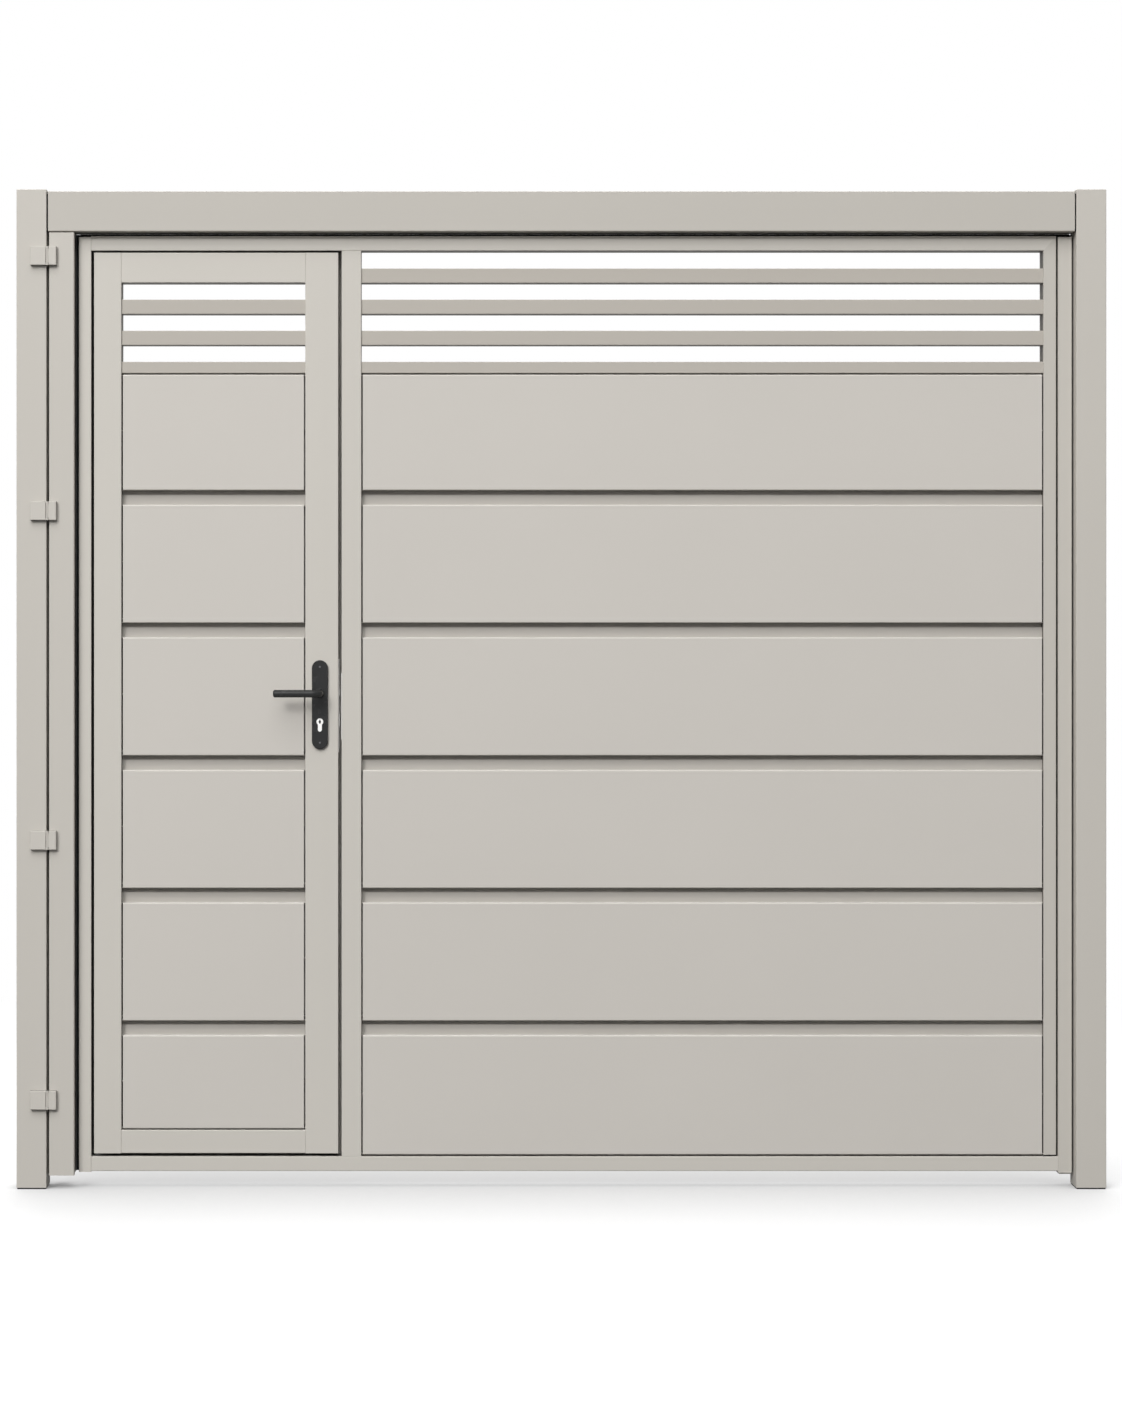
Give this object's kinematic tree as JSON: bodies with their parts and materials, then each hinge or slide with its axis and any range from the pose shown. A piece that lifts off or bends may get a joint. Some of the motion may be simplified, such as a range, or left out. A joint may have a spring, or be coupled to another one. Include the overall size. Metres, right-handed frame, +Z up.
{
  "type": "up-and-over gate",
  "caption": "Aluminium up-and-over driveway gate of louvred plank panels in a post and beam portal, with a wicket door, lever handle and hinged duct cover.",
  "frame": {"origin": "centre of the left post's foot face, on the ground", "axes": "+X to the right seen from outside, along the beam; +Y towards the inside; +Z up"},
  "size_m": [2.725, 0.177, 2.5],
  "materials": {
    "paint": "matte",
    "zinc_steel": "satin",
    "black_handle": "satin",
    "black_rubber": "matte",
    "bright_metal": "satin",
    "nylon": "satin"
  },
  "bodies": {
    "frame": {"left_post": "paint", "right_post": "paint", "left_post_foot": "black_rubber", "right_post_foot": "black_rubber", "post_caps": "paint", "top_beam": "paint", "beam_end_plates": "black_rubber", "side_duct": "paint", "cover_hinge_plates": "paint", "left_guide_track": "zinc_steel", "right_guide_track": "zinc_steel", "arm_brackets": "zinc_steel"},
    "cover": {"duct_cover": "paint", "cover_hinge_barrels": "paint"},
    "lift_arms": {"left_lift_arm": "zinc_steel", "right_lift_arm": "zinc_steel"},
    "leaf": {"leaf_left_stile": "paint", "leaf_right_stile": "paint", "leaf_end_caps": "paint", "leaf_top_rail": "paint", "leaf_bottom_rail": "paint", "leaf_mullion": "paint", "main_edge_stile": "paint", "leaf_seals": "black_rubber", "main_louvre_slats": "paint", "main_planks": "paint", "arm_pivots": "zinc_steel", "roller_brackets": "zinc_steel", "guide_rollers": "nylon", "wicket_frame_hinges": "zinc_steel", "strike_plate": "bright_metal"},
    "wicket": {"wicket_hinge_stile": "paint", "wicket_lock_stile": "paint", "wicket_top_rail": "paint", "wicket_bottom_rail": "paint", "wicket_louvre_slats": "paint", "wicket_planks": "paint", "wicket_stop_beads": "paint", "wicket_door_hinges": "zinc_steel", "outside_backplate": "black_handle", "inside_backplate": "black_handle", "lock_cylinder": "bright_metal", "lock_faceplate": "bright_metal"},
    "lever": {"outside_lever": "black_handle", "inside_lever": "black_handle"}
  },
  "joints": [
    {"name": "arm_lift", "type": "hinge", "parent": "frame", "child": "lift_arms", "pos_m": [0, 0.055, 2.345], "axis": [1, 0, 0], "range_deg": [0, 86]},
    {"name": "leaf_tilt", "type": "hinge", "parent": "lift_arms", "child": "leaf", "pos_m": [0, 0.055, 1.58225], "axis": [-1, 0, 0], "range_deg": [0, 172]},
    {"name": "wicket_swing", "type": "hinge", "parent": "leaf", "child": "wicket", "pos_m": [0.1497, 0.0485, 1.2], "axis": [0, 0, 1], "range_deg": [0, 90]},
    {"name": "lever_turn", "type": "hinge", "parent": "wicket", "child": "lever", "pos_m": [0.7203, 0.0175, 1.2395], "axis": [0, -1, 0], "range_deg": [0, 45], "stiffness_Nm_per_rad": 2, "springref_deg": -28.65},
    {"name": "cover_swing", "type": "hinge", "parent": "frame", "child": "cover", "pos_m": [0.04075, -0.0463, 1.2], "axis": [0, 0, -1], "range_deg": [0, 95]}
  ],
  "couplings": [
    {"joint": "leaf_tilt", "follows": "arm_lift", "ratio": 2}
  ]
}
